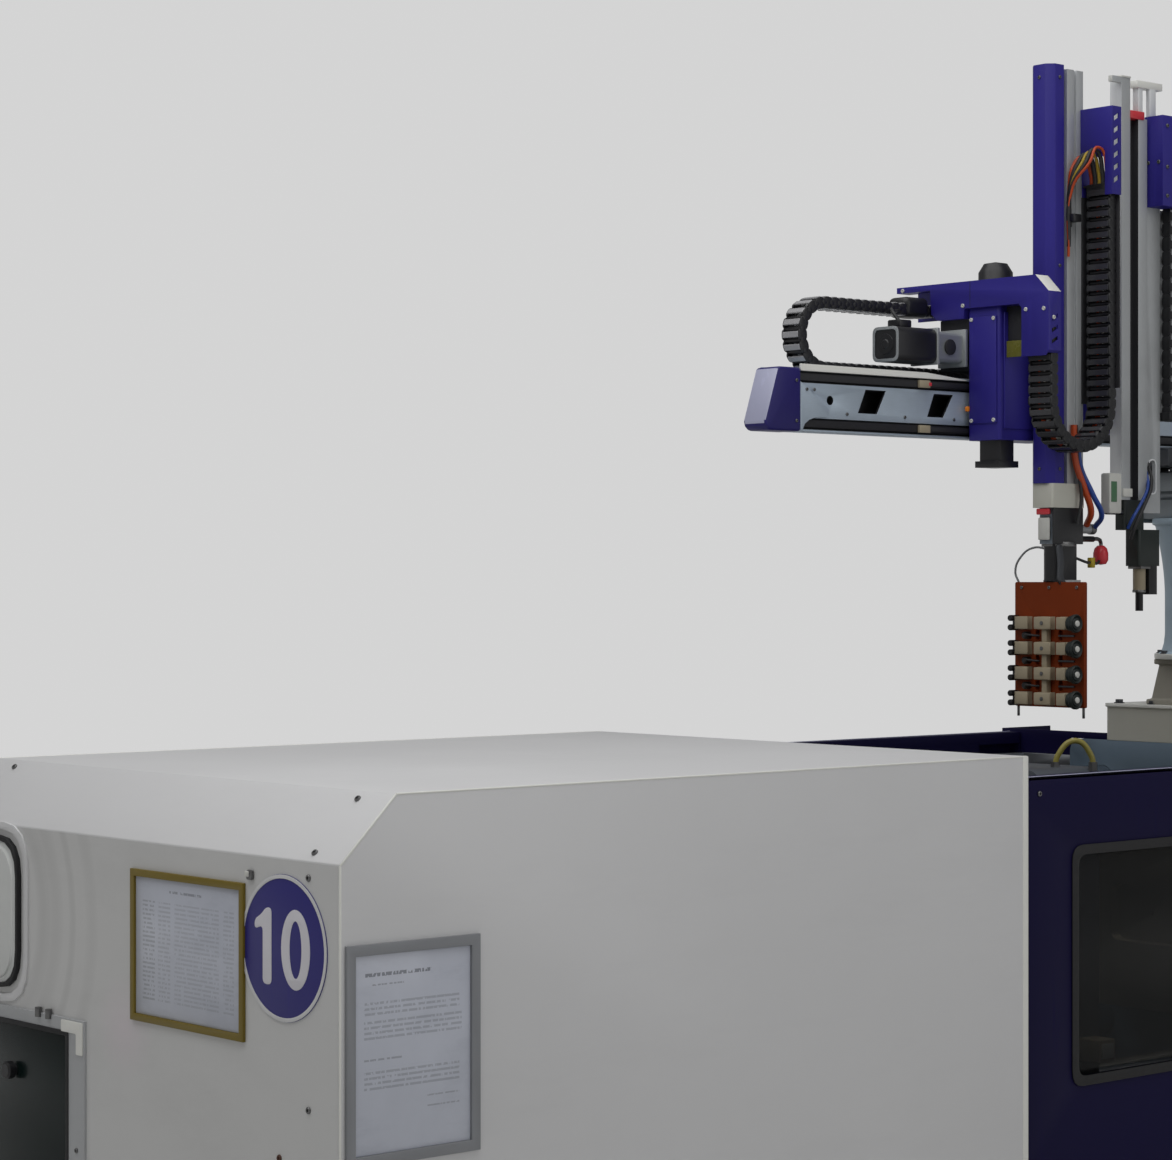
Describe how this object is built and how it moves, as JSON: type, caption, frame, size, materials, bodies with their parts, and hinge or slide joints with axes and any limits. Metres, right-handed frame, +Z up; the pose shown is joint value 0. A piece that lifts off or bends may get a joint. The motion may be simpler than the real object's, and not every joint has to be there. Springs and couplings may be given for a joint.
{
  "type": "injection moulding machine",
  "caption": "Horizontal injection moulding machine with guarded clamp, sliding safety doors, injection unit and hopper, and a beam-mounted take-out robot above the mould.",
  "frame": {"origin": "on the floor, at the centre of the four corner anchor holes of the levelling feet", "axes": "+X along the machine from the clamp end to the injection end, +Y away from the operator, +Z up"},
  "size_m": [4.807, 1.8895, 2.746],
  "materials": {
    "frame_grey": "dark grey paint",
    "foot_black": "black steel",
    "panel_white": "off-white textured paint",
    "rail_steel": "ground steel",
    "hatch_grey": "light grey plastic",
    "frame_light": "light grey paint",
    "pane_dark": "smoked polycarbonate",
    "notice_grey": "grey plastic",
    "notice_olive": "olive yellow plastic",
    "sheet_white": "plain sheet under film",
    "number_blue": "blue film with a white ring",
    "platen_blue": "light blue paint on a casting",
    "platen_grey": "grey paint on a casting",
    "ground_steel": "hard chrome",
    "dark_steel": "dark steel",
    "mould_steel": "machined tool steel",
    "door_violet": "very dark violet paint",
    "unit_grey": "grey paint",
    "barrel_steel": "heat-tinted steel",
    "band_metal": "mica band heaters",
    "hopper_steel": "stainless sheet",
    "pump_grey": "grey motor paint",
    "control_grey": "light grey paint",
    "screen_dark": "dark display",
    "stop_red": "red plastic",
    "block_beige": "grey-beige paint",
    "column_blue": "light blue-grey paint",
    "foot_grey": "grey-brown casting",
    "beam_grey": "anodised aluminium",
    "kick_silver": "light blue-silver aluminium",
    "robot_purple": "violet paint",
    "cap_lilac": "lilac paint",
    "chain_black": "black plastic links",
    "arm_grey": "anodised aluminium",
    "gripper_rust": "rust-red paint"
  },
  "bodies": {
    "machine": {"base_frame": "frame_grey", "levelling_feet": "foot_black", "base_panels": "panel_white", "bed_rails": "rail_steel", "top_cover": "panel_white", "side_panel_front": "panel_white", "side_panel_rear": "panel_white", "end_panel": "panel_white", "end_hatch": "hatch_grey", "end_window_frame": "frame_light", "end_window_pane": "pane_dark", "side_notice_frame": "notice_grey", "end_notice_frame": "notice_olive", "notice_sheets": "sheet_white", "number_plate": "number_blue", "fixed_platen": "platen_blue", "rear_platen": "platen_grey", "tie_bars": "ground_steel", "tie_bar_nuts": "dark_steel", "clamp_cylinder": "dark_steel", "mould_fixed_half": "mould_steel", "door_rails": "rail_steel", "rear_return_guard": "panel_white", "pump_unit": "pump_grey", "control_panel": "control_grey", "control_screen": "screen_dark", "robot_block": "block_beige", "robot_riser": "foot_grey", "robot_column": "column_blue", "traverse_beam": "beam_grey"},
    "moving_platen": {"moving_platen": "platen_grey", "clamp_ram": "ground_steel", "mould_moving_half": "mould_steel"},
    "ejector": {"ejector_plate": "rail_steel"},
    "front_door": {"front_door": "door_violet", "front_door_window": "pane_dark"},
    "rear_door": {"rear_door": "door_violet", "rear_door_window": "pane_dark"},
    "injection_unit": {"injection_carriage": "unit_grey", "barrel": "barrel_steel", "heater_bands": "band_metal", "barrel_guard": "panel_white", "hopper": "hopper_steel"},
    "hopper_lid": {"hopper_lid": "hopper_steel"},
    "hopper_gate": {"hopper_gate": "rail_steel"},
    "screw_drive": {"screw_drive": "dark_steel"},
    "screw": {"screw": "rail_steel"},
    "stop_button": {"stop_button": "stop_red"},
    "robot_carriage": {"traverse_carriage": "dark_steel", "kick_beam": "kick_silver", "kick_cap": "cap_lilac", "kick_chain": "chain_black"},
    "main_carriage": {"main_carriage": "robot_purple", "main_hood": "robot_purple"},
    "main_arm": {"main_arm": "arm_grey", "main_arm_cover": "robot_purple", "arm_chain": "chain_black"},
    "gripper": {"gripper": "gripper_rust"},
    "sub_carriage": {"sub_carriage": "robot_purple"},
    "sub_arm": {"sub_arm": "arm_grey"}
  },
  "joints": [
    {"name": "mould_clamp", "type": "slide", "parent": "machine", "child": "moving_platen", "axis": [1, 0, 0], "range_m": [0, 0.3995]},
    {"name": "ejector_stroke", "type": "slide", "parent": "moving_platen", "child": "ejector", "axis": [1, 0, 0], "range_m": [0, 0.08]},
    {"name": "front_door_slide", "type": "slide", "parent": "machine", "child": "front_door", "axis": [1, 0, 0], "range_m": [-0.9, 0]},
    {"name": "rear_door_slide", "type": "slide", "parent": "machine", "child": "rear_door", "axis": [1, 0, 0], "range_m": [-0.9, 0]},
    {"name": "injection_advance", "type": "slide", "parent": "machine", "child": "injection_unit", "axis": [1, 0, 0], "range_m": [0, 0.25]},
    {"name": "screw_stroke", "type": "slide", "parent": "injection_unit", "child": "screw_drive", "axis": [1, 0, 0], "range_m": [0, 0.18]},
    {"name": "screw_spin", "type": "hinge", "parent": "screw_drive", "child": "screw", "pos_m": [1.8, 0, 1], "axis": [1, 0, 0], "continuous": true},
    {"name": "hopper_lid_hinge", "type": "hinge", "parent": "injection_unit", "child": "hopper_lid", "pos_m": [1.385, 0.28, 1.862], "axis": [-1, 0, 0], "range_deg": [0, 100]},
    {"name": "hopper_gate_slide", "type": "slide", "parent": "injection_unit", "child": "hopper_gate", "axis": [-1, 0, 0], "range_m": [0, 0.1]},
    {"name": "stop_button_press", "type": "slide", "parent": "machine", "child": "stop_button", "axis": [0, 1, 0], "range_m": [0, 0.006], "stiffness_N_per_m": 1500},
    {"name": "robot_traverse", "type": "slide", "parent": "machine", "child": "robot_carriage", "axis": [0, 1, 0], "range_m": [-1.1, 0]},
    {"name": "main_arm_kick", "type": "slide", "parent": "robot_carriage", "child": "main_carriage", "axis": [-1, 0, 0], "range_m": [0, 0.25], "deforming": ["kick_chain"]},
    {"name": "main_arm_lift", "type": "slide", "parent": "main_carriage", "child": "main_arm", "axis": [0, 0, 1], "range_m": [-0.7, 0], "deforming": ["arm_chain"]},
    {"name": "gripper_flip", "type": "hinge", "parent": "main_arm", "child": "gripper", "pos_m": [-0.2075, -0.033, 1.63], "axis": [0, -1, 0], "range_deg": [0, 90]},
    {"name": "sub_arm_kick", "type": "slide", "parent": "robot_carriage", "child": "sub_carriage", "axis": [1, 0, 0], "range_m": [0, 0.12]},
    {"name": "sub_arm_lift", "type": "slide", "parent": "sub_carriage", "child": "sub_arm", "axis": [0, 0, 1], "range_m": [-0.6, 0]}
  ]
}
